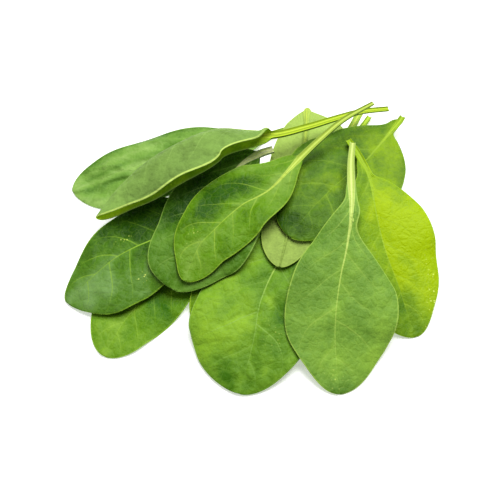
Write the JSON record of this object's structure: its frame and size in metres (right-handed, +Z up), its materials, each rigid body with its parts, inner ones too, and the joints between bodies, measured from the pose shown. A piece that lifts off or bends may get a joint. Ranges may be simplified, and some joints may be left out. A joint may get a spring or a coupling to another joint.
{
  "type": "spinach bunch",
  "caption": "Loose heap of fresh baby spinach leaves with their cut stalks, fanned out flat on a surface, stalks gathered towards one corner.",
  "frame": {"origin": "under the middle of the heap's box, on the surface that the heap lies on", "axes": "+Z up, +X to the right along the heap's longest spread, +Y away, towards the stalks' side"},
  "size_m": [0.1402, 0.1244, 0.0235],
  "materials": {
    "bright_leaf": "satin yellow-green leaf",
    "mid_leaf": "satin mid-green leaf",
    "dark_leaf": "satin dark green leaf",
    "pale_leaf": "matt pale green underside of a leaf"
  },
  "bodies": {
    "root": {"leaf_low_left": "bright_leaf", "leaf_hidden": "mid_leaf", "leaf_back_left": "mid_leaf", "leaf_left": "dark_leaf", "leaf_low_middle": "bright_leaf", "leaf_turned": "pale_leaf", "leaf_back_right": "mid_leaf", "leaf_under_middle": "dark_leaf", "leaf_right": "bright_leaf", "leaf_middle": "mid_leaf", "leaf_front": "mid_leaf", "leaf_folded": "pale_leaf"}
  },
  "joints": []
}
